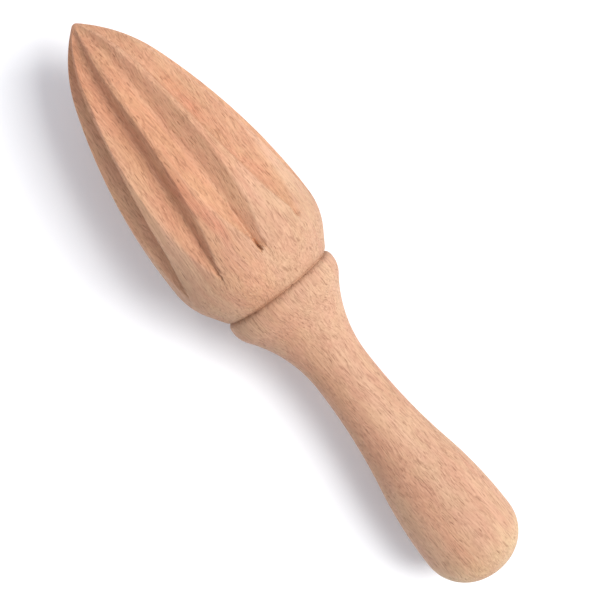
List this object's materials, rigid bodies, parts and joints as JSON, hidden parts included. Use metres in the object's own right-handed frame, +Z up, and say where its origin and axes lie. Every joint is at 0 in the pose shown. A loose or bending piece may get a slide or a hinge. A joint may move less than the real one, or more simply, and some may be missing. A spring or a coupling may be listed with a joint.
{
  "type": "citrus reamer",
  "caption": "Wooden hand reamer for citrus fruit: a pointed fluted head glued by a tenon to a waisted handle with a rounded bulb end.",
  "frame": {"origin": "on the surface the tool lies on, below the middle of its length and width", "axes": "+X from the tip towards the end of the handle, +Z up, +Y to the side; the tool lies on its side and its own axis falls about 4.6 degrees from the head towards the handle"},
  "size_m": [0.165, 0.0398, 0.0403],
  "materials": {
    "head_wood": "matt, bare turned beech",
    "handle_wood": "matt, bare turned beech"
  },
  "bodies": {
    "root": {"reamer_head": "head_wood", "handle": "handle_wood"}
  },
  "joints": []
}
